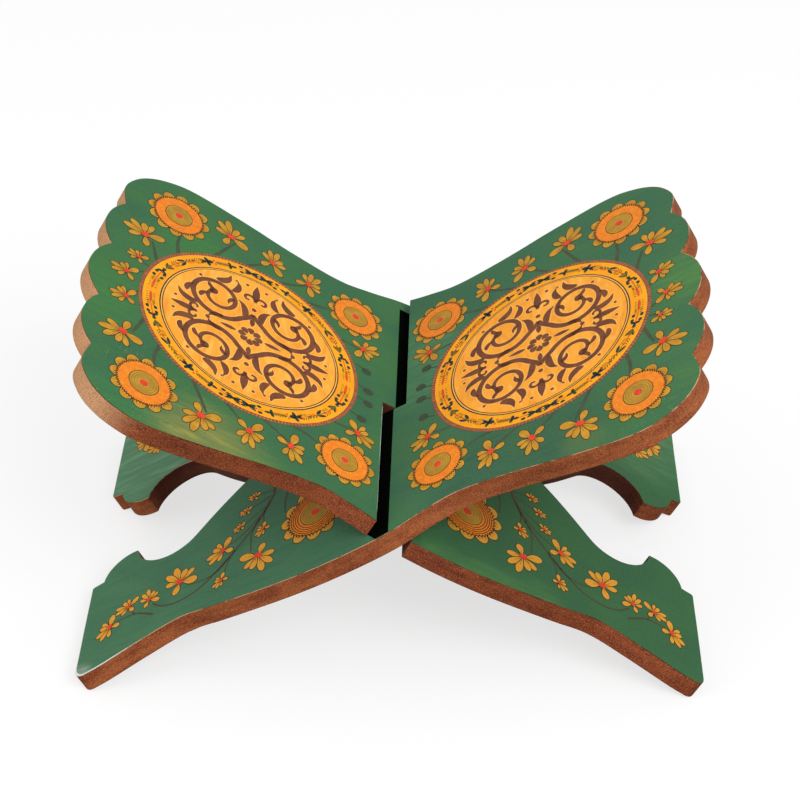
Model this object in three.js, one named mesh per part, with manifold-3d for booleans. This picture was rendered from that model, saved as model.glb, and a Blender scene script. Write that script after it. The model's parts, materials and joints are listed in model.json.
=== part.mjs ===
// A folding book stand (rehal) cut from two flat boards that lap through each other.
// Each board is one book panel and the opposite leg. Board B carries the right panel and the
// left leg. Board A is the same board turned half a turn about the vertical.
// Millimetres, +X right, +Y back, +Z up. The origin is on the ground under the crossing line.

import * as THREE from 'three';
import { mergeVertices } from 'three/addons/utils/BufferGeometryUtils.js';
import Module from 'manifold-3d';

// Board stock
const BOARD_THICKNESS = 9;       // fibreboard and its printed face together
const FILM_THICKNESS = 0.25;     // printed film on the upper face
const GLUE_LINE = 0.1;           // between film and core

// Open pose
const PANEL_ELEVATION = THREE.MathUtils.degToRad(29.3);  // each board above the horizontal
const RUNNING_GAP = 0.3;         // left where the boards meet at the open stop
const BACKWARD_SLIP = 0.95;      // board A sits this far behind the middle, board B in front of it
const SEAT_DEPTH = 0.6;          // the lower arris of each foot is worn flat by this height

// Board outline, measured from the crossing line: s along the board (panel +, leg -)
// and w across it from its centre line.
const FOOT_END = -151;
const TOE_RADIUS = 4;
const FOOT_HALF_WIDTH = 97.3;
const FOOT_INNER_W = 35.8;       // inner corner of the straight foot end
const FOOT_STEP = [-145.3, 34];  // where the foot's straight nick meets its round shoulder
const SHOULDER = { s: -130.2, w: 35.4, radius: 15.1 };   // convex round of the foot
const ARCH = { s: -111.3, w: 17.7, radius: 18 };         // hollow round of the arch
const CUSP = [-129.2, 20.4];     // sharp point between the two
const ARCH_TURN_END = THREE.MathUtils.degToRad(38);
const ARCH_OGEE = [[-91, 21.6], [-82, 11]];              // handles of the ogee up to the point
const ARCH_APEX = -69;

// Long edge: flared foot, waist, shoulder at the crossing, waist, flared corner
const SIDE_EDGE = [
  [FOOT_END + TOE_RADIUS, FOOT_HALF_WIDTH], [-138, 95.6], [-120, 90.5], [-99, 86], [-80, 88.7],
  [-50, 92.4], [-25, 93.3], [0, 91.3], [18, 86.2], [35, 83.1], [60, 86.7], [85, 92.6],
  [112, 97.1], [126, 94.7], [136, 88.6], [142, 80.2], [144.2, 71.5], [142, 58.9],
];
// Scalloped crest: a half-lobe on each side of one middle lobe
const SIDE_NOTCH = [142, 58.9];
const MIDDLE_NOTCH = [143.7, 21.6];
const SIDE_LOBE_RISE = 6.2;
const MIDDLE_LOBE_RISE = 7.8;

// Lap slot: open at one long edge, closed just short of the centre line
const SLOT_SHORTFALL = 0.4;

const CROSSING_ANGLE = 2 * PANEL_ELEVATION;
const SLOT_HALF_WIDTH =
  (BOARD_THICKNESS / 2) * (1 + Math.cos(CROSSING_ANGLE)) / Math.sin(CROSSING_ANGLE) +
  RUNNING_GAP / Math.sin(CROSSING_ANGLE);
const CROSSING_HEIGHT =
  -FOOT_END * Math.sin(PANEL_ELEVATION) +
  (BOARD_THICKNESS / 2) * Math.cos(PANEL_ELEVATION) - SEAT_DEPTH;
const CORE_THICKNESS = BOARD_THICKNESS - FILM_THICKNESS - GLUE_LINE;

const wasm = await Module();
wasm.setup();

const v2 = ([s, w]) => new THREE.Vector2(s, w);

// Points of a circle's arc about a centre, from one angle to another
function arcPoints(centre, fromAngle, toAngle, divisions) {
  const clockwise = toAngle < fromAngle;
  const { s, w, radius } = centre;
  const arc = new THREE.EllipseCurve(s, w, radius, radius, fromAngle, toAngle, clockwise);
  return arc.getPoints(divisions);
}

// A round lobe that swells outwards (towards +s) by `rise` between two notches
function lobePoints(from, to, rise, divisions) {
  const chord = v2(to).sub(v2(from));
  const outward = new THREE.Vector2(-chord.y, chord.x).normalize();
  if (outward.x < 0) outward.negate();
  const half = chord.length() / 2;
  const radius = (half * half + rise * rise) / (2 * rise);
  const centre = v2(from).addScaledVector(chord, 0.5).addScaledVector(outward, rise - radius);
  const start = v2(from).sub(centre).angle();
  let sweep = v2(to).sub(centre).angle() - start;
  if (sweep > Math.PI) sweep -= 2 * Math.PI;
  if (sweep < -Math.PI) sweep += 2 * Math.PI;
  return arcPoints({ s: centre.x, w: centre.y, radius }, start, start + sweep, divisions);
}

const angleOn = (centre, [s, w]) => Math.atan2(w - centre.w, s - centre.s);

// Half outline for w > 0, from the arch's point round the foot and up to the crest
function halfOutline() {
  const ogeeStart = new THREE.Vector2(
    ARCH.s + ARCH.radius * Math.cos(ARCH_TURN_END),
    ARCH.w + ARCH.radius * Math.sin(ARCH_TURN_END));
  const ogee = new THREE.CubicBezierCurve(
    new THREE.Vector2(ARCH_APEX, 0), v2(ARCH_OGEE[1]), v2(ARCH_OGEE[0]), ogeeStart);
  const hollow = arcPoints(ARCH, ARCH_TURN_END, angleOn(ARCH, CUSP), 12);
  const shoulderStart = angleOn(SHOULDER, CUSP);
  const shoulderEnd = angleOn(SHOULDER, FOOT_STEP);
  const shoulder = arcPoints(SHOULDER, shoulderStart, shoulderEnd, 8);
  const toe = arcPoints(
    { s: FOOT_END + TOE_RADIUS, w: FOOT_HALF_WIDTH - TOE_RADIUS, radius: TOE_RADIUS },
    Math.PI, Math.PI / 2, 4);
  const side = new THREE.SplineCurve(SIDE_EDGE.map(v2)).getPoints(54);
  const sideLobe = lobePoints(SIDE_NOTCH, MIDDLE_NOTCH, SIDE_LOBE_RISE, 9);
  const fullMiddle = lobePoints(
    MIDDLE_NOTCH, [MIDDLE_NOTCH[0], -MIDDLE_NOTCH[1]], MIDDLE_LOBE_RISE, 12);
  const middleHalf = fullMiddle.slice(0, 7);
  return [
    ...ogee.getPoints(8), ...hollow.slice(1), ...shoulder.slice(1),
    new THREE.Vector2(FOOT_END + 0.8, FOOT_INNER_W - 0.8),
    new THREE.Vector2(FOOT_END, FOOT_INNER_W),
    ...toe, ...side.slice(1), ...sideLobe.slice(1), ...middleHalf.slice(1),
  ];
}

// The slot takes the place of the long edge between its two mouth corners
function cutSlot(half) {
  const before = half.findIndex((p, i) => half[i + 1].x > -SLOT_HALF_WIDTH && p.y > FOOT_INNER_W
    && p.x <= -SLOT_HALF_WIDTH);
  const after = half.findIndex((p, i) => i > before && p.x >= SLOT_HALF_WIDTH);
  const cross = (i, s) => {
    const t = (s - half[i].x) / (half[i + 1].x - half[i].x);
    return half[i].clone().lerp(half[i + 1], t);
  };
  return [
    ...half.slice(0, before + 1),
    cross(before, -SLOT_HALF_WIDTH),
    new THREE.Vector2(-SLOT_HALF_WIDTH, SLOT_SHORTFALL),
    new THREE.Vector2(SLOT_HALF_WIDTH, SLOT_SHORTFALL),
    cross(after - 1, SLOT_HALF_WIDTH),
    ...half.slice(after),
  ];
}

function boardShape() {
  const half = halfOutline();
  const plainHalf = half.slice(1, -1).reverse().map((p) => new THREE.Vector2(p.x, -p.y));
  return new THREE.Shape([...cutSlot(half), ...plainHalf]);
}

function toManifold(geometry) {
  const bare = geometry.clone();
  bare.deleteAttribute('normal');
  bare.deleteAttribute('uv');
  const merged = mergeVertices(bare, 1e-4);
  return new wasm.Manifold(new wasm.Mesh({
    numProp: 3,
    vertProperties: new Float32Array(merged.attributes.position.array),
    triVerts: new Uint32Array(merged.index.array),
  }));
}

function fromManifold(solid) {
  const mesh = solid.getMesh();
  const geometry = new THREE.BufferGeometry();
  geometry.setAttribute('position', new THREE.BufferAttribute(mesh.vertProperties, 3));
  geometry.setIndex(new THREE.BufferAttribute(mesh.triVerts, 1));
  geometry.computeVertexNormals();
  return geometry;
}

// One layer of a board, from its underside height to its top, in the board's own frame
function layer(bottom, thickness) {
  const geometry = new THREE.ExtrudeGeometry(boardShape(), {
    depth: thickness, bevelEnabled: false, curveSegments: 1,
  });
  return geometry.translate(0, 0, bottom);
}

// Ground block in the board's frame: it takes off the arris that stands on the ground
function groundBlock() {
  const depth = 20;
  const block = new THREE.BoxGeometry(500, 400, depth);
  block.translate(0, 0, -CROSSING_HEIGHT - depth / 2);
  return block.rotateY(PANEL_ELEVATION);
}

function coreGeometry() {
  const blank = toManifold(layer(-BOARD_THICKNESS / 2, CORE_THICKNESS));
  return fromManifold(blank.subtract(toManifold(groundBlock())));
}

function filmGeometry() {
  return layer(BOARD_THICKNESS / 2 - FILM_THICKNESS, FILM_THICKNESS);
}

const fibreboard = new THREE.MeshStandardMaterial({ color: 0x7a4226, roughness: 0.85, metalness: 0 });
const printedFilm = new THREE.MeshStandardMaterial({ color: 0x2b5c40, roughness: 0.42, metalness: 0 });

// A board lies along its own X axis and is tilted up towards +X about the crossing line
function board(letter) {
  const tilted = new THREE.Group();
  const core = new THREE.Mesh(coreGeometry(), fibreboard);
  core.name = `board_${letter}_core`;
  const film = new THREE.Mesh(filmGeometry(), printedFilm);
  film.name = `board_${letter}_printed_film`;
  tilted.add(core, film);
  tilted.rotation.y = -PANEL_ELEVATION;
  tilted.position.set(0, -BACKWARD_SLIP, CROSSING_HEIGHT);
  const turned = new THREE.Group();
  turned.add(tilted);
  return turned;
}

const boardB = board('b');
const boardA = board('a');
boardA.rotation.z = Math.PI;

const stand = new THREE.Group();
stand.add(boardB, boardA);

export default stand;
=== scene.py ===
"""Folding book stand: two lapped fibreboards with a printed floral face, on a pale studio floor."""

import json
import math
import random

import bmesh
import bpy
from mathutils import Matrix, Vector, noise
from mathutils.geometry import tessellate_polygon


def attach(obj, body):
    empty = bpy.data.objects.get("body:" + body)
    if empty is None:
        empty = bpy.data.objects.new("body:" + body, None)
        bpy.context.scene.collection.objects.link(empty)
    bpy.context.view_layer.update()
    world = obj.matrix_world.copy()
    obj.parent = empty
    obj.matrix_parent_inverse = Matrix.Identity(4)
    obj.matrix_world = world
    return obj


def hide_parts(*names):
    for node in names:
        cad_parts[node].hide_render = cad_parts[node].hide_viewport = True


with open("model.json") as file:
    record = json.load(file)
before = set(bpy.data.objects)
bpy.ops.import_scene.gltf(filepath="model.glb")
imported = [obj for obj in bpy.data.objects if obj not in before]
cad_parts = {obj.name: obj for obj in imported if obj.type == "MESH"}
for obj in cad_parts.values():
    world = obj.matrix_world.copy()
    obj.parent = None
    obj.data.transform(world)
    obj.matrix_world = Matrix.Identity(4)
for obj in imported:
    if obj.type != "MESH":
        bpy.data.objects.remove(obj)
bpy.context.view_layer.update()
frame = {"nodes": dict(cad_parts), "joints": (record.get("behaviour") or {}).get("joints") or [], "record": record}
RNG = random.Random(11)

MM = 0.001
TAU = 2 * math.pi

# -------------------------------- the frame's own dimensions
HINGE = Vector(frame["joints"][0]["pos_m"]) / MM
REST = {m["name"]: m for m in frame["record"]["mounts"]}
PANEL_NORMAL = Vector(REST["book_rest_right"]["axis"])
ELEVATION = math.atan2(-PANEL_NORMAL.x, PANEL_NORMAL.z)
SLIP = -REST["book_rest_right"]["pos_m"][1] / MM
FACE_HEIGHT = 4.5          # the printed face above the board's middle plane
BACK_HEIGHT = -4.5

# -------------------------------- layers, in mm above the middle plane
CARRIER_TOP = FACE_HEIGHT - 0.08
CARRIER_FOOT = CARRIER_TOP - 0.30
LAYER_STEP = 0.03


class Board:
    """Turns (s along the board, w across it, h above its middle plane), in mm, into metres.

    s is positive on the panel and negative on the leg. Board A is board B turned half round.
    """

    def __init__(self, letter, turn):
        spin = Matrix.Rotation(turn, 4, "Z")
        tilt = Matrix.Rotation(-ELEVATION, 4, "Y")
        place = Matrix.Translation(Vector((0, -SLIP, HINGE.z)))
        self.letter = letter
        self.body = "board_" + letter
        self.turn = turn
        self.matrix = Matrix.Scale(MM, 4) @ spin @ place @ tilt
        self.inverse = self.matrix.inverted()

    def point(self, s, w, h):
        return self.matrix @ Vector((s, w, h))


BOARDS = [Board("b", 0.0), Board("a", math.pi)]


# ================================ outline, taken from the frame
def cad_outline(board):
    """The board's outline (s, w), counterclockwise, read from the top face of its film node."""
    mesh = frame["nodes"][board.body + "_printed_film"].data
    local = [board.inverse @ v.co for v in mesh.vertices]
    keys, edges = {}, {}
    for polygon in mesh.polygons:
        corners = [local[i] for i in polygon.vertices]
        if min(c.z for c in corners) < FACE_HEIGHT - 0.05:
            continue
        ids = [(round(c.x, 2), round(c.y, 2)) for c in corners]
        for key, c in zip(ids, corners):
            keys[key] = Vector((c.x, c.y))
        for a, b in zip(ids, ids[1:] + ids[:1]):
            edges[(a, b)] = True
    border = {a: b for (a, b) in edges if (b, a) not in edges}
    start = next(iter(border))
    loop, here = [start], border[start]
    while here != start:
        loop.append(here)
        here = border[here]
    return ccw([keys[k] for k in loop])


def ccw(points):
    area = sum(p.x * q.y - q.x * p.y for p, q in zip(points, points[1:] + points[:1]))
    return points if area > 0 else points[::-1]


def turning(a, b, c):
    return abs((b - a).angle_signed(c - b, 0.0))


def curve_point(p0, p1, p2, p3, t):
    """A point of the smooth curve from p1 to p2, at t = 0..1."""
    return 0.5 * (
        2 * p1 + (p2 - p0) * t + (2 * p0 - 5 * p1 + 4 * p2 - p3) * t * t
        + (3 * p1 - p0 - 3 * p2 + p3) * t * t * t)


def smooth_outline(points, step=1.2, corner=math.radians(30)):
    """Fills the outline with points on a smooth curve between its sharp corners."""
    n = len(points)
    sharp = [turning(points[i - 1], points[i], points[(i + 1) % n]) > corner for i in range(n)]
    dense = []
    for i in range(n):
        p1, p2 = points[i], points[(i + 1) % n]
        p0 = points[i - 1] if not sharp[i] else p1 * 2 - p2
        p3 = points[(i + 2) % n] if not sharp[(i + 1) % n] else p2 * 2 - p1
        count = max(1, round((p2 - p1).length / step))
        dense += [curve_point(p0, p1, p2, p3, k / count) for k in range(count)]
    return dense


MITRE_LIMIT = 0.35           # keeps the inset of a sharp corner from shooting out


def inset(points, distance):
    """Moves every point inwards by its distance (a number or a function of the point)."""
    moved = []
    n = len(points)
    for i, p in enumerate(points):
        before = (p - points[i - 1]).normalized()
        after = (points[(i + 1) % n] - p).normalized()
        normal = Vector((-before.y - after.y, before.x + after.x))
        mitre = max(normal.length / 2, MITRE_LIMIT)
        amount = distance(p) if callable(distance) else distance
        moved.append(p + normal.normalized() * (amount / mitre))
    return moved


# ================================ mesh helpers
def new_object(name, mesh, board, material):
    piece = bpy.data.objects.new(name, mesh)
    bpy.context.scene.collection.objects.link(piece)
    mesh.materials.append(material)
    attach(piece, board.body)
    return piece


def prism(name, board, outline, levels, material):
    """A closed plate: one ring of the outline per (inset, height) level, capped at both ends."""
    bm = bmesh.new()
    rings = []
    for distance, height in levels:
        ring = inset(outline, distance) if distance else outline
        rings.append([bm.verts.new(board.point(p.x, p.y, height)) for p in ring])
    n = len(outline)
    for low, high in zip(rings, rings[1:]):
        for i in range(n):
            j = (i + 1) % n
            bm.faces.new((low[i], low[j], high[j], high[i]))
    for a, b, c in triangles(outline):
        bm.faces.new((rings[0][a], rings[0][c], rings[0][b]))
        bm.faces.new((rings[-1][a], rings[-1][b], rings[-1][c]))
    mesh = bpy.data.meshes.new(name)
    bm.to_mesh(mesh)
    bm.free()
    return new_object(name, mesh, board, material)


def triangles(shape):
    """Index triples that fill a flat shape, all counterclockwise."""
    flat = [Vector((p.x, p.y, 0)) for p in shape]
    for a, b, c in tessellate_polygon([flat]):
        u, v = flat[b] - flat[a], flat[c] - flat[a]
        yield (a, b, c) if u.x * v.y - u.y * v.x > 0 else (a, c, b)


class Layer:
    """Every shape printed in one ink, collected in (s, w) and laid on a board as one piece."""

    def __init__(self, ink, level):
        self.ink, self.level = ink, level
        self.shapes = []

    def add(self, points, level=None):
        """Adds a shape, on the ink's own level unless it names another."""
        self.shapes.append(([Vector(p) for p in points], self.level if level is None else level))

    def lay(self, board):
        vertices, faces = [], []
        for shape, level in self.shapes:
            base = len(vertices)
            height = FACE_HEIGHT + LAYER_STEP * level
            vertices += [board.point(p.x, p.y, height) for p in shape]
            faces += [(base + a, base + b, base + c) for a, b, c in triangles(shape)]
        name = f"{board.body}_{self.ink}"
        mesh = bpy.data.meshes.new(name)
        mesh.from_pydata(vertices, [], faces)
        mesh.update()
        return new_object(name, mesh, board, INK[self.ink])


# ================================ materials
def linear(rgb):
    """0-255 sRGB to linear."""
    return tuple((c / 255 / 12.92) if c <= 10 else ((c / 255 + 0.055) / 1.055) ** 2.4 for c in rgb)


class Shader:
    """A small builder for one Principled material."""

    def __init__(self, name, roughness, specular):
        self.material = bpy.data.materials.new(name)
        self.material.use_nodes = True
        self.nodes = self.material.node_tree.nodes
        self.links = self.material.node_tree.links
        self.bsdf = self.nodes["Principled BSDF"]
        self.bsdf.inputs["Roughness"].default_value = roughness
        self.bsdf.inputs["Specular IOR Level"].default_value = specular
        self.coords = self.nodes.new("ShaderNodeTexCoord").outputs["Object"]

    def node(self, kind, values, **settings):
        """A new node; each value is set on, or linked to, the input of that name or number."""
        made = self.nodes.new(kind)
        for key, value in settings.items():
            setattr(made, key, value)
        for key, value in values.items():
            if isinstance(value, bpy.types.NodeSocket):
                self.links.new(value, made.inputs[key])
            else:
                made.inputs[key].default_value = value
        return made

    def vector_math(self, operation, a, b):
        return self.node("ShaderNodeVectorMath", {0: a, 1: b}, operation=operation)

    def turned(self, vector, axis, angle):
        values = {"Vector": vector, "Angle": angle}
        return self.node("ShaderNodeVectorRotate", values, rotation_type=axis).outputs[0]

    def board_coords(self, board):
        """(s, w, h) in mm, worked out from the object's own rest coordinates."""
        spun = self.turned(self.millimetres(), "Z_AXIS", -board.turn)
        moved = self.vector_math("ADD", spun, (0, SLIP, -HINGE.z))
        return self.turned(moved.outputs[0], "Y_AXIS", ELEVATION)

    def millimetres(self):
        """The object's own coordinates in mm."""
        values = {0: self.coords, "Scale": 1 / MM}
        return self.node("ShaderNodeVectorMath", values, operation="SCALE").outputs[0]

    def stretched(self, vector, scale):
        return self.node("ShaderNodeMapping", {"Vector": vector, "Scale": scale}).outputs[0]

    def noise(self, vector, scale, detail, rough, distortion=0.0):
        return self.node("ShaderNodeTexNoise", {
            "Vector": vector, "Scale": scale, "Detail": detail, "Roughness": rough,
            "Distortion": distortion}).outputs["Fac"]

    def ramp(self, value, low, high, out_low=0.0, out_high=1.0):
        """A smooth step from out_low to out_high as the value goes from low to high."""
        return self.node("ShaderNodeMapRange", {
            "Value": value, "From Min": low, "From Max": high, "To Min": out_low,
            "To Max": out_high}, interpolation_type="SMOOTHSTEP").outputs["Result"]

    def math(self, operation, a, b):
        return self.node("ShaderNodeMath", {0: a, 1: b}, operation=operation).outputs[0]

    def times(self, a, b):
        return self.math("MULTIPLY", a, b)

    def mix(self, factor, a, b):
        """Colour a where the factor is 0, colour b where it is 1."""
        made = self.node("ShaderNodeMix", {}, data_type="RGBA")
        slots = {s.identifier: s for s in made.inputs}
        for key, value in (("Factor_Float", factor), ("A_Color", a), ("B_Color", b)):
            if isinstance(value, bpy.types.NodeSocket):
                self.links.new(value, slots[key])
            else:
                slots[key].default_value = (*value, 1.0) if isinstance(value, tuple) else value
        return next(o for o in made.outputs if o.identifier == "Result_Color")

    def axis(self, vector, index):
        return self.node("ShaderNodeSeparateXYZ", {0: vector}).outputs[index]

    def spot(self, vector, centre, radius, soft):
        """1 at a place on the board, fading to 0 over `soft` mm beyond its radius."""
        flat = self.vector_math("MULTIPLY", vector, (1, 1, 0))
        away = self.vector_math("DISTANCE", flat.outputs[0], (*centre, 0))
        return self.ramp(away.outputs["Value"], radius, radius + soft, 1.0, 0.0)

    def colour(self, socket):
        self.links.new(socket, self.bsdf.inputs["Base Color"])

    def roughness(self, socket):
        self.links.new(socket, self.bsdf.inputs["Roughness"])

    def bump(self, height, strength, distance):
        values = {"Height": height, "Strength": strength, "Distance": distance}
        made = self.node("ShaderNodeBump", values)
        self.links.new(made.outputs[0], self.bsdf.inputs["Normal"])


FILM_GLOSS = 0.16            # specular level of the printed film
INK_ROUGHNESS = 0.48
LEG_HEIGHTS = (56.0, 70.0)   # mm above the table: below is a leg, above is a panel

# Cut fibreboard of each board: darker and paler brown, and the painted light on the scalloped end: its pale tone
# and how far it goes
BROWNS = {
    "a": ((114, 48, 23), (146, 70, 36), (230, 178, 130), 0.8),
    "b": ((132, 62, 30), (172, 94, 50), (200, 136, 88), 0.1),
}


def fibreboard_material(board):
    """Fibreboard: pressed fibres, dark pits, pale flecks; painted light on the scalloped end, and painted shade in
    the arch and at the slot's end.
    """
    dark, pale, end, reach = BROWNS[board.letter]
    m = Shader("fibreboard_" + board.letter, roughness=0.75, specular=0.3)
    v = m.board_coords(board)
    cloud = m.noise(m.stretched(v, (0.05, 0.05, 0.2)), 1.0, 4.0, 0.6)
    fibre = m.noise(m.stretched(v, (1.9, 1.9, 3.4)), 1.0, 4.0, 0.6)
    speck = m.noise(m.stretched(v, (1.5, 1.5, 1.9)), 1.0, 2.0, 0.5)
    base = m.mix(m.ramp(cloud, 0.34, 0.64), linear(dark), linear(pale))
    back = m.ramp(m.axis(v, 2), BACK_HEIGHT + 0.04, BACK_HEIGHT + 0.14, 1.0, 0.0)
    raw = m.mix(m.times(back, 0.6), base, linear((176, 128, 90)))
    cut = m.math("SUBTRACT", 1.0, back)
    # painted light: the scalloped end turns to a pale tan, strongly on board A and barely on board B
    painted_light_on_end = m.ramp(m.axis(v, 0), 112.0, 136.0, 0.0, reach)
    end_with_painted_light = m.mix(m.times(painted_light_on_end, cut), raw, linear(end))
    shaded = m.mix(m.ramp(fibre, 0.50, 0.36, 0.0, 0.75), end_with_painted_light, linear((66, 24, 12)))
    tipped = m.mix(m.ramp(fibre, 0.51, 0.64, 0.0, 0.6), shaded, linear((200, 122, 74)))
    pitted = m.mix(m.ramp(speck, 0.68, 0.73, 0.0, 0.75), tipped, linear((44, 14, 8)))
    fleck = m.mix(m.ramp(speck, 0.30, 0.26, 0.0, 0.6), pitted, linear((222, 152, 104)))
    # painted shade: the arch between the feet and the slot's end at the crossing are darkened to a near-black
    # brown
    arch = m.times(m.spot(v, ARCH, 44, 9), m.ramp(m.axis(v, 0), -132.0, -126.0))
    inner = m.math("MAXIMUM", arch, m.spot(v, (0, 0), 15, 6))
    stain_and_painted_shade = m.times(m.times(inner, cut), 0.78)
    m.colour(m.mix(stain_and_painted_shade, fleck, linear((44, 14, 10))))
    m.roughness(m.ramp(fibre, 0.3, 0.7, 0.66, 0.9))
    m.bump(fibre, 0.5, 0.0002)
    m.bsdf.inputs["Sheen Weight"].default_value = 0.15
    m.bsdf.inputs["Sheen Roughness"].default_value = 0.3
    m.bsdf.inputs["Sheen Tint"].default_value = (1.0, 0.76, 0.52, 1.0)
    return m.material


# Edge of the film: two tones of the thin line, then where it is bare white: (s, w), radius, softness
FILM_EDGES = {
    "a": ((112, 66, 40), (58, 30, 18), (6, 50), 46, 4),
    "b": ((206, 162, 126), (112, 72, 46), (-151, -97), 20, 14),
}


def carrier_material(board):
    """The film seen from its edge: a stained line, bare white at A's slot and at B's worn foot."""
    pale, dark, centre, radius, soft = FILM_EDGES[board.letter]
    m = Shader("film_carrier_" + board.letter, roughness=0.7, specular=0.2)
    v = m.board_coords(board)
    stain_and_painted_shade = m.noise(v, 0.12, 4.0, 0.6)
    scuff = m.noise(v, 0.9, 3.0, 0.6)
    base = m.mix(m.ramp(stain_and_painted_shade, 0.42, 0.60), linear(pale), linear(dark))
    white = m.spot(v, centre, radius, soft)
    if board.letter == "a":
        along = m.axis(v, 0)
        slot = m.times(m.ramp(along, -3.0, 0.0), m.ramp(along, 12.0, 18.0, 1.0, 0.0))
        inner = m.ramp(m.axis(v, 1), 80.0, 83.0, 1.0, 0.0)
        white = m.times(m.times(white, slot), inner)
    bared = m.mix(m.times(white, 0.9), base, linear((226, 234, 228)))
    m.colour(m.mix(m.ramp(scuff, 0.55, 0.8, 0.0, 0.3), bared, linear((214, 192, 172))))
    m.bump(scuff, 0.2, 0.0001)
    return m.material


def green_material(board):
    """Printed watercolour green: clouds, brush strokes, paler and darker places, worn flecks."""
    m = Shader("printed_green_" + board.letter, roughness=0.5, specular=FILM_GLOSS)
    v = m.board_coords(board)
    cloud = m.noise(v, 0.024, 4.0, 0.55, 0.6)
    brush = m.noise(m.stretched(v, (0.05, 0.30, 0.05)), 1.0, 4.0, 0.6, 0.4)
    grain = m.noise(v, 1.1, 3.0, 0.6)
    panel_dark, panel_pale, leg_dark, leg_pale = GREENS_WITH_PAINTED_LIGHT[board.letter]
    panel = m.mix(m.ramp(cloud, 0.32, 0.68), linear(panel_dark), linear(panel_pale))
    leg = m.mix(m.ramp(cloud, 0.32, 0.68), linear(leg_dark), linear(leg_pale))
    # painted light and shade: the leg switches to its own green, paler on board B and darker on board A, fading in
    # from s = 10 to -30 mm
    base = m.mix(m.ramp(m.axis(v, 0), -30.0, 10.0, 1.0, 0.0), panel, leg)
    brushed = m.mix(m.ramp(brush, 0.44, 0.76, 0.0, 0.4), base, linear((44, 96, 74)))
    # print tones, and painted light on the back feet
    for centre, radius, soft, colour, strength in PRINT_TONES_AND_PAINTED_LIGHT[board.letter]:
        glow = m.spot(v, centre, radius, soft)
        broken = m.times(glow, m.ramp(brush, 0.25, 0.6, 1.0, 0.4))
        brushed = m.mix(m.times(broken, strength), brushed, linear(colour))
    worn = m.spot(v, *FLECKS[board.letter])
    fleck = m.ramp(m.noise(m.stretched(v, (0.42, 0.22, 0.3)), 1.0, 5.0, 0.7, 1.5), 0.60, 0.68)
    flecks = m.times(m.times(fleck, worn), 0.75)
    flecked = m.mix(flecks, brushed, linear((140, 146, 74)))
    grained = m.mix(m.ramp(grain, 0.45, 0.75, 0.0, 0.22), flecked, linear((92, 140, 92)))
    m.colour(m.mix(m.ramp(grain, 0.46, 0.28, 0.0, 0.25), grained, linear((36, 80, 54))))
    m.roughness(m.ramp(cloud, 0.3, 0.7, 0.46, 0.56))
    m.bump(grain, 0.06, 0.00005)
    return m.material


def ink_material(name, light, dark, patch, on_legs=None):
    """One printed colour, wandering between two shades in small patches; it may differ on the legs."""
    m = Shader("ink_" + name, roughness=INK_ROUGHNESS, specular=FILM_GLOSS)
    v = m.millimetres()
    patches = m.noise(v, patch, 3.0, 0.6, 0.5)
    fine = m.noise(v, 0.9, 2.0, 0.5)
    mixed = m.mix(m.ramp(patches, 0.35, 0.68), linear(dark), linear(light))
    if on_legs:
        mixed = m.mix(m.ramp(m.axis(v, 2), *LEG_HEIGHTS, 0.8, 0.0), mixed, linear(on_legs))
    m.colour(m.mix(m.ramp(fine, 0.5, 0.8, 0.0, 0.25), mixed, linear(dark)))
    m.roughness(m.ramp(patches, 0.3, 0.7, INK_ROUGHNESS - 0.03, INK_ROUGHNESS + 0.05))
    return m.material


def crossing_ink_and_painted_shade_material():
    """Dense matt black of the band along the crossing line: partly printed black, partly painted shade of the deep
    gap where the boards cross.
    """
    m = Shader("ink_and_painted_shade_crossing_black", roughness=0.95, specular=0.0)
    grain = m.noise(m.millimetres(), 0.9, 2.0, 0.5)
    m.colour(m.mix(m.ramp(grain, 0.3, 0.7), linear((3, 5, 3)), linear((8, 11, 8))))
    return m.material


def gold_field_material():
    """Warm gold ground with soft folds, as on a painted silk."""
    m = Shader("ink_gold_field", roughness=0.5, specular=FILM_GLOSS)
    v = m.millimetres()
    folds = m.noise(m.stretched(v, (0.12, 0.03, 0.10)), 1.0, 3.0, 0.5, 2.4)
    clouds = m.noise(v, 0.03, 3.0, 0.5)
    fine = m.noise(v, 0.8, 2.0, 0.5)
    base = m.mix(m.ramp(clouds, 0.3, 0.7), linear((248, 162, 46)), linear((254, 174, 60)))
    folded = m.mix(m.ramp(folds, 0.50, 0.66, 0.0, 0.7), base, linear((234, 146, 42)))
    pale = m.mix(m.ramp(folds, 0.44, 0.30, 0.0, 0.7), folded, linear((255, 190, 88)))
    m.colour(m.mix(m.ramp(fine, 0.5, 0.8, 0.0, 0.15), pale, linear((236, 150, 36))))
    return m.material


# Two shades of green of the panel and two of the leg, on each board; the leg's shades, paler than the panel on
# board B and darker on board A, are painted light and shade
GREENS_WITH_PAINTED_LIGHT = {
    "a": ((52, 102, 68), (62, 112, 64), (52, 96, 62), (58, 104, 62)),
    "b": ((54, 102, 74), (64, 110, 70), (64, 110, 80), (72, 118, 84)),
}
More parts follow.
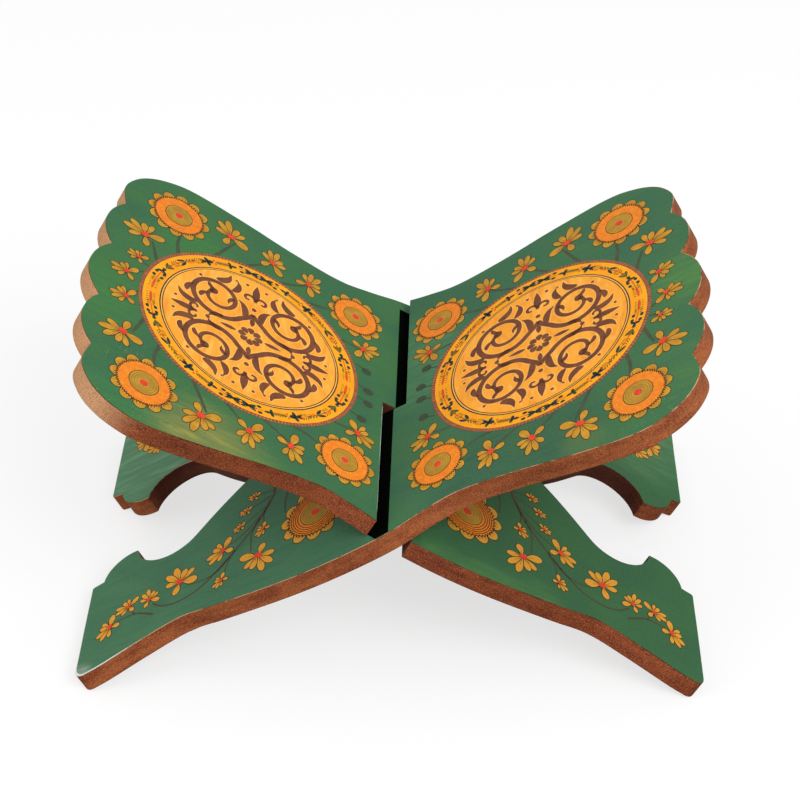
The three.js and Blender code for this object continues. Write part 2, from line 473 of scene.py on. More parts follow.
# Paler and darker places on each board: (s, w), radius, softness, colour, strength; most are tones of the print,
# but the pale spot on each back foot (s = -125) is painted light
PRINT_TONES_AND_PAINTED_LIGHT = {
    "a": [((88, 90), 6, 28, (164, 152, 72), 0.9), ((68, 88), 4, 16, (122, 136, 66), 0.6),
          ((128, 90), 4, 26, (56, 126, 72), 0.6), ((108, -58), 4, 24, (58, 130, 56), 0.6),
          ((146, 20), 6, 26, (68, 130, 60), 0.6), ((-24, 96), 6, 12, (84, 130, 68), 0.7),
          ((-46, 96), 6, 14, (92, 142, 74), 0.7), ((-68, 92), 6, 12, (80, 132, 70), 0.6),
          # next line: the spot at (-125, -80), on the back foot, is painted light
          ((-6, 90), 2, 8, (44, 58, 34), 0.7), ((-125, -80), 18, 36, (98, 142, 98), 0.7)],
    "b": [((112, -88), 6, 30, (66, 124, 66), 0.4), ((148, 3), 8, 20, (88, 138, 66), 0.8),
          ((142, -66), 6, 24, (84, 132, 66), 0.6), ((92, -87), 3, 12, (122, 142, 70), 0.7),
          # next line: the spot at (-125, 72), on the back foot, is painted light; the one at (-149, -96) is the
          # worn corner
          ((-149, -96), 3, 5, (160, 174, 158), 0.9), ((-125, 72), 34, 34, (114, 158, 122), 0.9),
          ((66, -80), 28, 24, (41, 75, 60), 0.6), ((6, 30), 22, 26, (86, 140, 98), 0.7)],
}
# Where the print is worn into pale flecks: (s, w), radius, softness
FLECKS = {"a": ((122, 78), 18, 26), "b": ((120, -84), 6, 16)}

# Material name, light shade, dark shade, how fine its patches are, and its shade on the legs
INK = {
    "stem": ink_material("stem", (78, 82, 58), (64, 75, 54), 0.2, (76, 68, 46)),
    "faded": ink_material("faded_fruit", (62, 72, 54), (52, 72, 54), 0.15),
    "outline": ink_material("outline", (84, 54, 26), (58, 40, 24), 0.3),
    "petal": ink_material("ochre_petal", (206, 152, 44), (186, 132, 34), 0.22, (228, 158, 50)),
    "shade": ink_material("petal_shade", (168, 118, 32), (150, 102, 28), 0.3),
    "orange": ink_material("orange_disc", (244, 142, 34), (228, 122, 28), 0.5),
    "olive": ink_material("olive_disc", (194, 148, 46), (172, 130, 42), 0.18),
    "red": ink_material("red_centre", (234, 74, 46), (214, 56, 38), 0.5),
    "rope": ink_material("rope_brown", (136, 92, 62), (104, 78, 60), 0.3),
    "rope_twist": ink_material("rope_twist", (208, 106, 62), (182, 90, 54), 0.3),
    "ring": ink_material("ring_gold", (254, 172, 22), (246, 158, 18), 0.12),
    "navy": ink_material("navy_sprig", (34, 62, 56), (20, 44, 46), 0.4),
    "sage": ink_material("sage_sprig", (134, 112, 34), (102, 94, 36), 0.4),
    "coral": ink_material("coral_dot", (230, 92, 36), (208, 78, 32), 0.4),
    "field": gold_field_material(),
    "halo": ink_material("halo", (255, 190, 92), (252, 180, 80), 0.12),
    "black": crossing_ink_and_painted_shade_material(),
    "brown": ink_material("arabesque_brown", (126, 74, 46), (106, 60, 38), 0.15),
}


# ================================ drawing in the plane
def polar(centre, angle, radius):
    return Vector((centre[0] + radius * math.cos(angle), centre[1] + radius * math.sin(angle)))


def ribbon(path, width):
    """A stroke along a path of points. width is a number or a function of 0..1 along it."""
    left, right = [], []
    n = len(path)
    for i, p in enumerate(path):
        ahead = (path[min(i + 1, n - 1)] - path[max(i - 1, 0)]).normalized()
        side = Vector((-ahead.y, ahead.x))
        half = (width(i / (n - 1)) if callable(width) else width) / 2
        left.append(p + side * half)
        right.append(p - side * half)
    return left + right[::-1]


def spline(knots, steps):
    """A smooth curve through a few knots."""
    knots = [Vector(k) for k in knots]
    ends = [knots[0] * 2 - knots[1]] + knots + [knots[-1] * 2 - knots[-2]]
    path = []
    for p0, p1, p2, p3 in zip(ends, ends[1:], ends[2:], ends[3:]):
        path += [curve_point(p0, p1, p2, p3, k / steps) for k in range(steps)]
    return path + [knots[-1]]


def club(length, width, start=1.3, grow=0.0, steps=7):
    """A petal along +x: a narrow root that widens to a broad round tip; `grow` fattens it all round."""
    root, waist = start - grow, start + (length - start) * 0.62
    upper = []
    for k in range(steps + 1):
        t = k / steps
        half = width / 2 * (0.16 + 0.84 * math.sin(0.5 * math.pi * t) ** 1.3)
        upper.append(Vector((root + (waist - root) * t, half + grow)))
    for k in range(1, steps):
        turn = 0.5 * math.pi * k / steps
        reach = waist + (length + grow - waist) * math.sin(turn)
        upper.append(Vector((reach, (width / 2 + grow) * math.cos(turn))))
    upper.append(Vector((length + grow, 0)))
    return upper + [Vector((p.x, -p.y)) for p in upper[-2::-1]]


def disc(radius, steps):
    return [Vector((radius * math.cos(TAU * k / steps), radius * math.sin(TAU * k / steps)))
            for k in range(steps)]


def put(points, centre, angle=0.0, scale=1.0, stretch=(1.0, 1.0)):
    """Turns, scales, stretches and moves a shape."""
    c, s = math.cos(angle), math.sin(angle)
    out = []
    for p in points:
        x, y = scale * (c * p.x - s * p.y), scale * (s * p.x + c * p.y)
        out.append(Vector((centre[0] + x * stretch[0], centre[1] + y * stretch[1])))
    return out


def wobble(points, amount, seed):
    """A hand-painted unevenness of an outline."""
    return [p + Vector((noise.noise(Vector((p.x * 0.9, p.y * 0.9, seed))),
                        noise.noise(Vector((p.x * 0.9, p.y * 0.9, seed + 9))))) * amount
            for p in points]


# ================================ the print
STRETCH = (0.93, 1.075)      # the flowers are drawn a little wide across the board
OUTLINE = 0.36               # dark line round a petal
PETALS = 12                  # of a big flower
ORANGE, OLIVE = 12.6, 7.0    # radii of its two discs

# Petals of a small flower: direction from its broad petal in degrees, length, width
SMALL_PETALS = [
    (0, 9.4, 4.2), (90, 7.0, 3.4), (171, 7.6, 2.9), (205, 10.1, 3.1), (234, 10.3, 3.3),
    (273, 7.2, 3.2), (305, 7.9, 2.9),
]
# Small flowers of the panel, each with its mirror image across the board:
# s, w, size, direction of the broad petal in degrees
PANEL_FLOWERS = [
    (50.0, 65.9, 0.97, 254), (69.0, 69.0, 1.0, 232), (90.8, 74.0, 1.13, 202),
    (130.4, 40.8, 1.13, 166), (19.9, 33.9, 0.92, 296),
]
# Small flowers of the outer column that have no mirror image, drawn turned over
COLUMN_FLOWERS = [(132.6, 13.9, 0.80, 237), (134.7, -5.0, 0.80, 222), (130.9, -20.5, 0.60, 205)]
# Small flowers of the leg, drawn turned over; each has its mirror image
LEG_FLOWERS = [
    (-136.6, -71.3, 0.80, 84), (-128.2, -62.2, 0.70, 41), (-117.4, -63.4, 0.70, 336),
    (-102.0, -60.3, 1.12, 344), (-81.2, -51.0, 0.86, 66), (-62.1, -66.5, 1.12, 161),
    (-61.0, -47.8, 0.50, 84), (-79.8, -72.7, 0.50, 84), (-67.5, -20.0, 0.38, 30),
    (-71.0, -28.8, 0.38, 40), (-73.4, -39.2, 0.38, 50),
]
# Big flowers: s, w, size, and whether its orange disc is ringed; each has its mirror image
BIG_FLOWERS = [(117.0, 70.1, 1.0, False), (24.9, 57.9, 0.925, False), (-34.6, 52.9, 1.09, True)]

# Stems, each with its mirror image: knots (s, w) from the flower to where it joins, and width there
PANEL_STEMS = [
    ([(114.4, 54.0), (114.9, 47.0), (113.6, 38.0)], 2.0),
    ([(88.5, 70.0), (91.6, 63.0), (97.0, 51.0)], 1.9),
    ([(70.5, 66.5), (76.5, 61.0), (82.5, 55.0)], 1.7),
    ([(51.5, 63.0), (58.0, 59.0), (66.0, 54.5)], 1.7),
    ([(37.5, 54.5), (44.0, 51.6), (53.0, 50.5)], 1.7),
    ([(126.4, 38.0), (124.6, 32.0), (122.0, 22.0)], 2.0),
    ([(21.5, 31.5), (25.5, 33.0), (32.0, 33.5)], 1.4),
]
COLUMN_STEMS = [                # these have no mirror image
    ([(131.6, 12.0), (129.2, 8.0), (126.0, 4.0)], 1.2),
    ([(133.0, -6.5), (130.0, -9.0), (126.0, -11.5)], 1.2),
    ([(129.6, -19.5), (127.2, -17.6), (124.0, -16.6)], 1.1),
]
LEG_STEMS = [
    ([(-115.2, -67.4), (-110.5, -71.8), (-102.5, -74.3), (-91.7, -71.8), (-82.6, -63.8),
      (-75.0, -55.3), (-66.0, -43.3), (-60.5, -33.3), (-57.2, -23.3), (-58.2, -15.8)], 1.5),
    ([(-65.5, -20.0), (-61.5, -20.6), (-57.4, -21.6)], 0.9),
    ([(-69.0, -28.3), (-64.0, -26.6), (-58.6, -24.8)], 0.9),
    ([(-71.2, -38.3), (-66.5, -35.0), (-61.0, -31.8)], 0.9),
    ([(-77.6, -48.8), (-69.0, -43.3), (-61.3, -34.0)], 1.1),
    ([(-61.0, -44.8), (-61.5, -36.0), (-59.2, -27.6)], 0.9),
    ([(-66.2, -61.3), (-66.8, -48.0), (-63.6, -38.8)], 1.0),
    ([(-79.2, -70.0), (-77.8, -62.0), (-74.6, -54.6)], 0.9),
    ([(-97.6, -65.0), (-89.6, -66.6), (-82.6, -64.7), (-77.0, -57.6)], 1.1),
    ([(-133.4, -69.2), (-124.6, -69.2), (-119.0, -72.0), (-114.0, -75.4)], 1.3),
    ([(-126.5, -65.5), (-124.3, -69.4)], 0.9),
    ([(-50.3, -43.0), (-51.0, -35.2), (-50.2, -27.5)], 1.0),
]
# Half-faded fruit beside the crossing line, with no mirror image: s, w
FADED_FRUIT = [(17.5, 21.8), (14.8, 8.0), (15.2, -1.8), (16.6, -17.0)]


def both_sides(shape):
    """A shape and its mirror image across the board."""
    yield shape
    yield [Vector((p.x, -p.y)) for p in shape]


def small_flower(layers, s, w, size, direction, turned_over, mirrored=True):
    """Seven veined petals round a red heart; turned over, the petals run the other way round."""
    def ink(name, shape, turn, level=None):
        placed = put(shape, (s, w), turn, size, stretch=STRETCH)
        for copy in (both_sides(placed) if mirrored else [placed]):
            layers[name].add(copy, level)

    for k, (angle, length, width) in enumerate(SMALL_PETALS):
        turn = math.radians((-angle if turned_over else angle) + direction)
        length *= RNG.uniform(0.95, 1.05)
        width *= RNG.uniform(0.92, 1.0)
        under = 2 + k % 2
        ink("outline", club(length, width, grow=OUTLINE / size), turn, under)
        ink("petal", club(length, width), turn, under + 0.5)
        vein = spline([(2.0, 0.0), (length * 0.35, 0.10), (length * 0.55, 0.0)], 3)
        ink("shade", ribbon(vein, lambda t: 0.45 * (1 - 0.75 * t)), turn)
    heart = [Vector((1.85 * math.copysign(abs(math.cos(a)) ** 0.7, math.cos(a)),
                     1.45 * math.copysign(abs(math.sin(a)) ** 0.7, math.sin(a))))
             for a in (TAU * k / 24 for k in range(24))]
    ink("red", heart, math.radians(direction))


def big_flower(layers, s, w, size, ringed):
    """Twelve ochre petals round a saw-edged orange disc, an olive disc and a red heart."""
    def ink(name, shape, turn=0.0, level=None):
        for copy in both_sides(put(shape, (s, w), turn, size, stretch=STRETCH)):
            layers[name].add(copy, level)

    for k in range(PETALS):
        turn = TAU * (k + RNG.uniform(-0.05, 0.05)) / PETALS
        reach, breadth = RNG.uniform(3.8, 4.2), RNG.uniform(3.05, 3.35)
        lobe = [Vector((ORANGE + reach * math.cos(a), breadth * math.sin(a)))
                for a in (TAU * j / 26 for j in range(26))]
        ink("outline", inset(lobe, -OUTLINE), turn)
        ink("petal", lobe, turn)
        for side in (-1.5, 0.3, 1.7):
            vein = spline([(ORANGE, side * 0.8), (14.2, side), (15.0, side * 0.85)], 3)
            ink("shade", ribbon(vein, lambda t: 0.45 * (1 - 0.8 * t)), turn)
    teeth = 46 if ringed else 62
    saw, edge = [], []
    for k in range(teeth):
        jag = RNG.uniform(0.5, 1.5)
        valley, peak = TAU * k / teeth, TAU * (k + RNG.uniform(0.4, 0.65)) / teeth
        saw += [polar((0, 0), valley, ORANGE - 0.5), polar((0, 0), peak, ORANGE + 0.4 * jag)]
        edge += [polar((0, 0), valley, ORANGE + 0.2), polar((0, 0), peak, ORANGE + 0.45 * jag + 1.0)]
    ink("outline", edge, level=5)
    ink("orange", saw)
    ink("outline", disc(OLIVE + 0.35, 48), level=7)
    ink("olive", disc(OLIVE, 48))
    ink("red", disc(1.95, 18))
    rings = [("shade", radius, 0.22) for radius in (3.2, 4.5, 5.8)]
    if ringed:
        rings += [("outline", radius, 0.34) for radius in (8.4, 9.5, 10.6, 11.6)]
    for name, radius, width in rings:
        for quad in ring_band(radius, width, 44):
            ink(name, quad, level=9)


def ring_band(radius, width, steps):
    """A ring as a chain of quads."""
    for k in range(steps):
        a, b = TAU * k / steps, TAU * (k + 1) / steps
        yield [polar((0, 0), a, radius), polar((0, 0), a, radius + width),
               polar((0, 0), b, radius + width), polar((0, 0), b, radius)]


# -------------------------------- medallion
MEDALLION = (74.5, 0.0)
RIM = (53.5, 57.2)           # outer edge of the rope border, along and across the board
ROPE = 1.9                   # border width
RING = 9.9                   # border and gold ring together
FIELD = 11.9                 # from the outer edge to the ornament
MOTIF_SIZE = 1.12            # of the motifs on the gold ring
HALO = 0.5                   # paler gold round the ornament
TWISTS = 190                 # of the rope


def on_ellipse(angle, depth):
    """A point of the medallion, `depth` mm inside its outer edge."""
    return Vector((MEDALLION[0] + (RIM[0] - depth) * math.cos(angle),
                   MEDALLION[1] + (RIM[1] - depth) * math.sin(angle)))


def ellipse(depth, steps=160):
    return [on_ellipse(TAU * k / steps, depth) for k in range(steps)]


def ring_put(shape, angle, depth, reverse):
    """Puts a motif drawn with +x along the ring and +y outwards; reverse turns it end for end."""
    centre = on_ellipse(angle, depth)
    ahead = (on_ellipse(angle + 0.01, depth) - on_ellipse(angle - 0.01, depth)).normalized()
    out = Vector((ahead.y, -ahead.x))
    return [centre + ahead * MOTIF_SIZE * (-p.x if reverse else p.x) + out * MOTIF_SIZE * p.y
            for p in shape]


def leaflet(root, degrees, length, width):
    """A small pointed leaf from its root."""
    spine = [Vector((length * t / 6, 0)) for t in range(7)]
    body = ribbon(spine, lambda t: 1.12 * width * math.sin(math.pi * (0.08 + 0.9 * t)) ** 0.7)
    return put(body, root, math.radians(degrees))


def bar(x0, x1, width, start=0.0, end=0.0):
    """A straight stroke along the ring."""
    return ribbon([Vector((x0, start)), Vector((x1, end))], width)


def spindle():
    shapes = [("coral", leaflet((-3.6, 0), 0, 7.2, 1.15))]
    for x in (-2.9, -1.4, 0.1, 1.6, 3.1):
        shapes += [("sage", leaflet((x, 1.0 * y), 55 * y, 1.2, 0.34)) for y in (1, -1)]
    return shapes


def fine_ticks():
    shapes = [("coral", bar(-2, 2.4, 0.3))]
    for x in (-1.6, -0.4, 0.8):
        shapes += [("sage", leaflet((x, 0.5 * y), 48 * y, 1.7, 0.4)) for y in (1, -1)]
    return shapes


def ovals():
    shapes = [("navy", put(disc(0.78, 12), (0, 1.75 * y), stretch=(1.3, 1))) for y in (1, -1)]
    return shapes + [("coral", bar(-1.6, 1.8, 0.34))]


def trefoil():
    shapes = [("navy", leaflet((-0.3, 0), 0, 3.0, 1.3)), ("navy", put(disc(0.75, 10), (-0.5, 0)))]
    return shapes + [("navy", leaflet((-0.4, 0), 100 * y, 2.2, 1.35)) for y in (1, -1)]


def grand_trefoil():
    shapes = [("navy", leaflet((0.2, 0), 0, 3.1, 1.9)), ("navy", put(disc(0.9, 10), (0.4, 0)))]
    for y in (1, -1):
        shapes += [("navy", leaflet((0.4, 0), 92 * y, 2.7, 1.5)),
                   ("navy", leaflet((-0.2, 0), 158 * y, 2.6, 0.9)),
                   ("navy", leaflet((-1.4, 0), 150 * y, 2.4, 0.7))]
    return shapes


def bud():
    shapes = [("sage", leaflet((-2.4, 0), 0, 4.4, 1.5)), ("coral", bar(1.4, 4.6, 0.34, end=0.2))]
    for y in (1, -1):
        shapes += [("sage", leaflet((-1.6, 0.3 * y), 34 * y, 2.6, 0.8)),
                   ("navy", leaflet((-0.1, 0.6 * y), 42 * y, 2.0, 0.9)),
                   ("sage", leaflet((-3.0, 0.2 * y), 140 * y, 1.2, 0.5))]
    return shapes


def leaf_pair():
    shapes = [("sage", bar(-3, 3, 0.36)), ("coral", put(disc(0.6, 10), (-2.6, 0)))]
    shapes += [("navy", leaflet((2.2, 0.5 * y), 180 - 16 * y, 4.2, 1.15)) for y in (1, -1)]
    return shapes


def twig():
    shapes = [("sage", bar(-3, 2.6, 0.34, 0.1, -0.1)), ("navy", leaflet((1.2, 0), 2, 2.2, 0.8))]
    for x, y in ((-2.4, 1), (-1.7, -1), (-0.7, 1), (0.1, -1), (1.0, 1)):
        shapes.append(("sage" if y > 0 else "coral", leaflet((x, 0.1 * y), 34 * y, 2.0, 0.55)))
    return shapes


def feather():
    shapes = [("sage", bar(-3.4, 3.2, 0.32))]
    for k in range(6):
        shapes += [("sage", leaflet((-3.0 + 1.05 * k, 0), 36 * y, 1.7, 0.42)) for y in (1, -1)]
    return shapes


def two_dots():
    return [("coral", put(disc(0.55, 10), (0, 1.1 * y))) for y in (1, -1)]


def bow():
    shapes = [("navy", put(disc(0.8, 10), (0, 0), stretch=(1.3, 0.9)))]
    for y in (1, -1):
        shapes += [("navy", leaflet((0, 0.1 * y), 26 * y, 3.7, 1.25)),
                   ("navy", leaflet((0, 0.1 * y), 180 - 26 * y, 3.7, 1.25)),
                   ("sage", leaflet((1.2, 0.8 * y), 65 * y, 1.2, 0.5)),
                   ("sage", leaflet((-1.2, 0.8 * y), 180 - 65 * y, 1.2, 0.5))]
    return shapes + [("navy", leaflet((x, 0), turn, 3.2, 0.8)) for x, turn in ((0.4, 0), (-0.4, 180))]


# What runs round the gold ring in each quarter, and where in degrees from the medallion's long sides
RING_MOTIFS = [
    (spindle, 6.3), (fine_ticks, 11.0), (ovals, 14.4), (ovals, 18.3), (trefoil, 21.0), (bud, 28.0),
    (fine_ticks, 34.0), (leaf_pair, 39.4), (twig, 45.8), (fine_ticks, 51.5), (grand_trefoil, 57.6),
    (two_dots, 62.8), (feather, 67.6), (trefoil, 73.2), (ovals, 79.4), (bow, 85.6),
]


def ring_motifs(layers):
    middle = (ROPE + RING) / 2 - 0.1
    for make, degrees in RING_MOTIFS:
        for start in (0, 180):
            for sign in (1, -1):
                angle = math.radians(start + sign * degrees)
                for ink, shape in make():
                    layers[ink].add(ring_put(shape, angle, middle, sign < 0))


def volute(centre, start, sweep, outer, inner, steps, ease=0.85):
    """A spiral path that starts on its outer radius and curls in; start and sweep in degrees."""
    path = []
    for k in range(steps + 1):
        t = k / steps
        radius = outer + (inner - outer) * t ** ease
        path.append(polar(centre, math.radians(start + sweep * t), radius))
    return path


def leaf(root, angle, length, width, curl):
    """A half palmette: a leaf whose tip bends to one side by `curl` (as a share of its length)."""
    spine = spline([(0, 0), (0.33, -0.10 * curl), (0.70, 0.02 * curl), (0.95, 0.32 * curl)], 6)
    share = width / length
    body = ribbon(spine, lambda t: 0.02 + share * math.sin(math.pi * min(1.0, 0.03 + 0.97 * t) ** 0.75))
    return put(body, root, math.radians(angle), length)


def spear(root, angle, length, width):
    """A symmetric leaf, pointed at both ends."""
    path = [Vector((length * t / 12, 0)) for t in range(13)]
    body = ribbon(path, lambda t: width * math.sin(math.pi * (0.02 + 0.96 * t) ** 0.8))
    return put(body, root, math.radians(angle))


def taper(wide, thin):
    """The width of a stroke that starts thick, swells a little and thins out."""
    return lambda t: thin + (wide - thin) * math.sin(math.pi * min(1.0, 0.15 + 0.85 * t)) ** 0.6


def arabesque_quarter():
    """One quarter of the ornament, in a disc of radius 1: a scrolling vine with half palmettes."""
    eye = (0.425, 0.425)
    scroll = volute(eye, 214, 555, 0.345, 0.085, 60, ease=1.12)
    vine = spline([(0.0, 0.395), (0.045, 0.32), scroll[0]], 8)[:-1] + scroll
    seed = scroll[-1]
    strokes = [ribbon(vine, lambda t: 0.078 * (0.62 + 0.38 * min(1, 4 * t)) * (1 - 0.42 * t)),
               put(disc(0.052, 18), seed)]
    strokes += [
        leaf((0.645, 0.165), 10, 0.26, 0.085, 0.95), leaf((0.775, 0.285), 96, 0.18, 0.062, 0.75),
        leaf((0.475, 0.735), 150, 0.24, 0.085, -0.95), leaf((0.275, 0.645), 118, 0.22, 0.075, -0.85),
        leaf((0.105, 0.30), 84, 0.27, 0.078, -0.7), leaf((0.33, 0.125), 340, 0.20, 0.055, -0.6),
        leaf((0.62, 0.30), 112, 0.15, 0.055, 0.9), leaf((0.55, 0.61), 236, 0.14, 0.05, -0.9),
        leaf((0.225, 0.50), 318, 0.14, 0.05, -0.9),
    ]
    curl = volute((0.083, 0.66), 200, -330, 0.080, 0.02, 24)
    strokes.append(ribbon(curl, taper(0.038, 0.02)))
    strokes.append(ribbon([Vector((0.02 + 0.96 * p.y, 0.92 * p.x)) for p in curl], taper(0.036, 0.02)))
    for x, y, radius in ((0.115, 0.885, 0.021), (0.885, 0.115, 0.019),
                         (0.655, 0.665, 0.02), (0.245, 0.865, 0.015)):
        strokes.append(put(disc(radius, 12), (x, y)))
    return strokes


def arabesque_axes():
    """The finials on the ornament's two axes and the rosette at its centre, in a disc of radius 1."""
    shapes = []
    for turn in (0, 180):
        side = 1 if turn == 0 else -1
        shapes += [spear((0.165 * side, 0), turn, 0.20, 0.06),
                   spear((0, 0.655 * side), 90 * side, 0.28, 0.09),
                   spear((0.65 * side, 0), turn, 0.28, 0.09),
                   spear((0, 0.185 * side), 90 * side, 0.15, 0.06),
                   put(disc(0.03, 14), (0, 0.49 * side)),
                   put(disc(0.028, 14), (0.50 * side, 0))]
    shapes += [put(club(0.145, 0.08, start=0.045, steps=5), (0, 0), TAU * k / 8) for k in range(8)]
    return shapes


def arabesque(layers):
    """The ornament on the gold field, each stroke in brown on a paler halo."""
    scale_s, scale_w = RIM[0] - FIELD, RIM[1] - FIELD

    def ink(shape, flip_s=1, flip_w=1):
        brown = [Vector((MEDALLION[0] + p.x * scale_s * flip_s, MEDALLION[1] + p.y * scale_w * flip_w))
                 for p in shape]
        layers["brown"].add(brown)
        layers["halo"].add(inset(ccw(brown), -HALO))

    for shape in arabesque_quarter():
        for flip_s in (1, -1):
            for flip_w in (1, -1):
                ink(shape, flip_s, flip_w)
    for shape in arabesque_axes():
        ink(shape)


def medallion(layers):
    """From outside in: the rope, the gold ring, three thin lines and the field with its ornament."""
    slant, thin = 0.011, 0.004
    layers["rope"].add(ellipse(0))
    for k in range(TWISTS):
        a = TAU * k / TWISTS
        stroke = [on_ellipse(a - slant, 0.25), on_ellipse(a + thin, 0.25),
                  on_ellipse(a + slant, ROPE - 0.3), on_ellipse(a - thin, ROPE - 0.3)]
        layers["rope_twist"].add(stroke)
    layers["ring"].add(ellipse(ROPE))
    layers["navy"].add(ellipse(RING))
    layers["halo"].add(ellipse(RING + 0.6), 6)
    layers["outline"].add(ellipse(RING + 1.15), 7)
    layers["field"].add(ellipse(RING + 1.6))
    ring_motifs(layers)
    arabesque(layers)


# How high each ink lies on the print, in steps; some shapes name a level of their own
LEVELS = {
    "stem": 1, "faded": 1, "outline": 2, "petal": 3, "shade": 4, "orange": 6, "olive": 8, "red": 10,
    "rope": 2, "rope_twist": 3, "ring": 4, "navy": 5, "sage": 6, "coral": 7, "field": 8, "halo": 9,
    "brown": 10,
}


def stem(knots, width):
    """A stem that widens from its flower to where it joins."""
    return ribbon(spline(knots, 5), lambda t: width * (0.6 + 0.4 * t))


def draw_print():
    """The same print is laid on both boards."""
    layers = {ink: Layer(ink, level) for ink, level in LEVELS.items()}
    for s, w, size, direction in PANEL_FLOWERS:
        small_flower(layers, s, w, size, direction, False)
    for s, w, size, direction in COLUMN_FLOWERS:
        small_flower(layers, s, w, size, direction, True, mirrored=False)
    for s, w, size, direction in LEG_FLOWERS:
        small_flower(layers, s, w, size, direction, True)
    for s, w, size, ringed in BIG_FLOWERS:
        big_flower(layers, s, w, size, ringed)
    for knots, width in PANEL_STEMS + LEG_STEMS:
        for copy in both_sides(stem(knots, width)):
            layers["stem"].add(copy)
    for knots, width in COLUMN_STEMS:
        layers["stem"].add(stem(knots, width))
    for s, w in FADED_FRUIT:
        layers["faded"].add(put(wobble(disc(2.5, 24), 0.5, w), (s + 0.8, w)))
        stalk = spline([(s + 2, w - 1), (s + 4, w - 1.6), (s + 6.5, w - 2.6)], 4)
        layers["faded"].add(ribbon(stalk, 0.8))
    medallion(layers)
    return layers


# ================================ boards
CHIP = Vector((-151, -97))      # the print is worn off at this corner of board B
ARCH = (-118, 0)                # middle of the arch between the feet
# The black band is partly printed black and partly painted shade of the gap where the boards cross
BAND = (-12.0, 2.1)             # black band along the crossing line, on the half that isn't slotted
BAND_INNER = 0.35               # where it starts, beside the board's middle
BAND_END = -84.0                # where it stops short on board A
BAND_CHAMFER = (7, 11.5)        # its cut corner on board B, along and across the board


def print_inset(board):
    """How far the print's edge has drawn back from the cut: an uneven hair, more at the worn corner."""
    def distance(p):
        wave = noise.noise(Vector((p.x * 0.06, p.y * 0.06, board.turn)))
        fine = noise.noise(Vector((p.x * 0.45, p.y * 0.45, 5 + board.turn)))
        amount = max(0.02, 0.05 + 0.12 * wave + 0.04 * fine)
        if board.letter == "b":
            away = (p - CHIP).length
            crest = max(0.0, min(1.0, (p.x - 120) / 15))
            amount += 0.22 * crest
            amount += 0.9 * max(0.0, 1 - away / 6) + 0.45 * max(0.0, 1 - away / 42)
        elif 0 < p.x < 14 and p.y > 4:      # beside the slot
            amount += 0.12
        return amount
    return distance


def crossing_band(board, outline):
    """The band runs to the long edge on board B and stops short of it on board A."""
    low, high = BAND
    inner = [(high, BAND_INNER), (low, BAND_INNER)]
    if board.letter == "a":
        return inner + [(low, BAND_END), (high, BAND_END)]
    along, across = BAND_CHAMFER
    edge = sorted((p.x, p.y + 0.2) for p in outline if low + along < p.x < high and p.y < -60)
    return inner + [(low, edge[0][1] + across)] + edge + [(high, edge[-1][1])]


def make_board(board, layers, outline):
    """A core with softly broken back edges, the film on it, and the inks on the film."""
    core = prism(
        board.body + "_fibreboard", board, outline,
        [(0.35, BACK_HEIGHT), (0.1, BACK_HEIGHT + 0.12), (0.0, BACK_HEIGHT + 0.4),
         (0.0, -1.5), (0.0, 1.5), (0.0, CARRIER_FOOT)],
        fibreboard_material(board))
    sit_flat(core)
    prism(
        board.body + "_film_carrier", board, outline,
        [(0.0, CARRIER_FOOT), (0.04, CARRIER_TOP)], carrier_material(board))
    face = prism(
        board.body + "_film_print", board, inset(outline, print_inset(board)),
        [(0.0, CARRIER_TOP), (0.0, FACE_HEIGHT)], green_material(board))
    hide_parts(board.body + "_core")
    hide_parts(board.body + "_printed_film")
    for layer in layers.values():
        layer.lay(board)
    # the black band: printed black and painted shade of the gap at the crossing
    band = Layer("black", 1)
    band.add(crossing_band(board, outline))
    band.lay(board)


def sit_flat(piece):
    """Takes off what lies below the ground: the worn flats of the feet."""
    bm = bmesh.new()
    bm.from_mesh(piece.data)
    everything = bm.verts[:] + bm.edges[:] + bm.faces[:]
    cut = bmesh.ops.bisect_plane(
        bm, geom=everything, plane_co=(0, 0, 0), plane_no=(0, 0, 1), clear_inner=True)
    rim = [e for e in cut["geom_cut"] if isinstance(e, bmesh.types.BMEdge)]
    bmesh.ops.edgenet_fill(bm, edges=rim)
    bm.to_mesh(piece.data)
    bm.free()


outline = smooth_outline(cad_outline(BOARDS[0]))
layers = draw_print()
for board in BOARDS:
    make_board(board, layers, outline)


# ================================ floor, light, camera
def stage_mesh(name, vertices, faces, diffuse, glow):
    """A studio surface that the camera sees but that throws no light back on the stand."""
    mesh = bpy.data.meshes.new(name)
    mesh.from_pydata(vertices, [], faces)
    piece = bpy.data.objects.new(name, mesh)
    bpy.context.scene.collection.objects.link(piece)
    m = Shader(name + "_white", roughness=0.9, specular=0.0)
    m.bsdf.inputs["Base Color"].default_value = (diffuse, diffuse, diffuse, 1)
    m.bsdf.inputs["Emission Color"].default_value = (1.0, 0.998, 0.998, 1)
    m.bsdf.inputs["Emission Strength"].default_value = glow
    mesh.materials.append(m.material)
    piece.visible_diffuse = False
    piece.visible_glossy = False
    return piece


FLOOR_DIFFUSE, FLOOR_GLOW = 0.30, 0.69


def make_floor_and_wall(reach=5.0, height=4.0, sides=48):
    """A table top so bright that the stand leaves only a faint shadow, and a white wall far behind."""
    floor = [(reach * math.cos(TAU * k / sides), reach * math.sin(TAU * k / sides), 0)
             for k in range(sides)]
    stage_mesh("floor", floor, [tuple(range(sides))], FLOOR_DIFFUSE, FLOOR_GLOW)
    top = [(x, y, height) for x, y, _ in floor]
    walls = [(k, (k + 1) % sides, sides + (k + 1) % sides, sides + k) for k in range(sides)]
    wall = stage_mesh("wall", floor + top, walls, 0.0, 1.0)
    wall.visible_shadow = False
    wall.visible_transmission = False


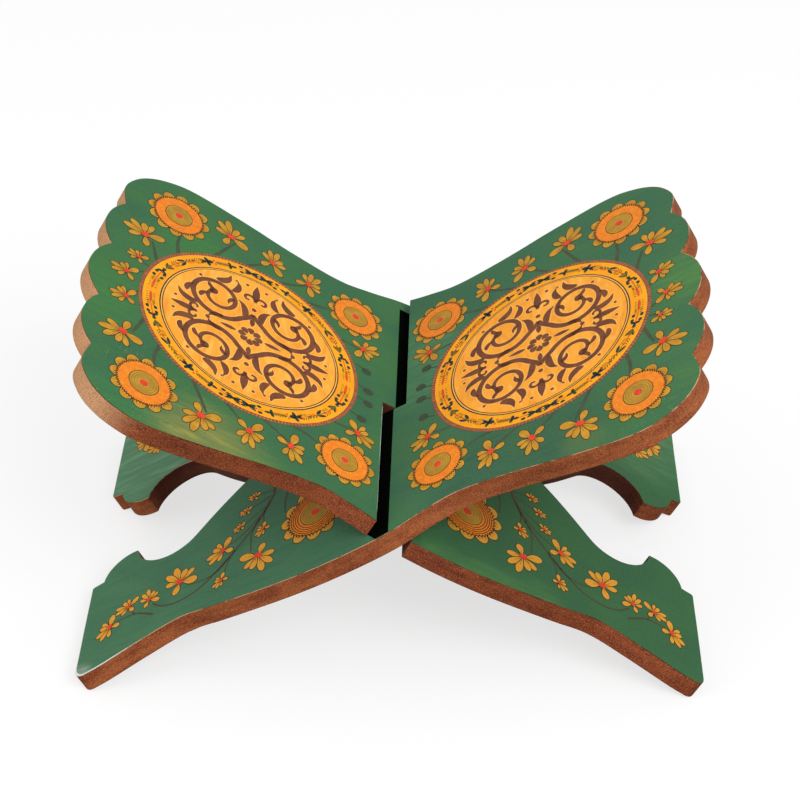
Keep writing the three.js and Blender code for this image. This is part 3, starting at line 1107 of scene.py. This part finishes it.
def area_light(name, place, target, size, power):
    data = bpy.data.lights.new(name, "AREA")
    data.shape = "RECTANGLE"
    data.size, data.size_y = size
    data.energy = power
    light = bpy.data.objects.new(name, data)
    bpy.context.scene.collection.objects.link(light)
    light.location = place
    light.rotation_euler = (Vector(target) - Vector(place)).to_track_quat("-Z", "Y").to_euler()


def make_light():
    """A white tent overhead that fades towards the table, and soft boxes in front and at the left."""
    world = bpy.data.worlds.new("studio")
    world.use_nodes = True
    nodes, links = world.node_tree.nodes, world.node_tree.links
    direction = nodes.new("ShaderNodeTexCoord").outputs["Generated"]
    parts = nodes.new("ShaderNodeSeparateXYZ")
    links.new(direction, parts.inputs[0])
    fade = nodes.new("ShaderNodeMapRange")
    for key, value in (("From Min", -0.1), ("From Max", 0.6), ("To Min", 0.11), ("To Max", 0.83)):
        fade.inputs[key].default_value = value
    links.new(parts.outputs["Z"], fade.inputs["Value"])
    links.new(fade.outputs["Result"], nodes["Background"].inputs["Strength"])
    nodes["Background"].inputs["Color"].default_value = (1, 1, 1, 1)
    bpy.context.scene.world = world
    area_light("left_softbox", (-1.5, -0.7, 0.5), (0, 0, 0.06), (0.9, 0.9), 8)
    area_light("front_softbox", (0.8, -1.3, 1.3), (0, 0, 0.08), (1.2, 0.9), 23)


EYE = (0.0214, -0.86718, 0.65466)
PAN, PITCH, ROLL = 1.255, -33.217, 0.116    # degrees
LENS = 105.95                               # mm, on a 36 mm sensor


def make_camera():
    data = bpy.data.cameras.new("camera")
    data.sensor_width = 36.0
    data.lens = LENS
    data.clip_start = 0.01
    camera = bpy.data.objects.new("camera", data)
    bpy.context.scene.collection.objects.link(camera)
    aim = (Matrix.Rotation(math.radians(PAN), 4, "Z")
           @ Matrix.Rotation(math.radians(90 + PITCH), 4, "X")
           @ Matrix.Rotation(math.radians(ROLL), 4, "Z"))
    camera.matrix_world = Matrix.Translation(EYE) @ aim
    bpy.context.scene.camera = camera


make_floor_and_wall()
make_light()
make_camera()
bpy.context.scene.view_settings.view_transform = "Standard"
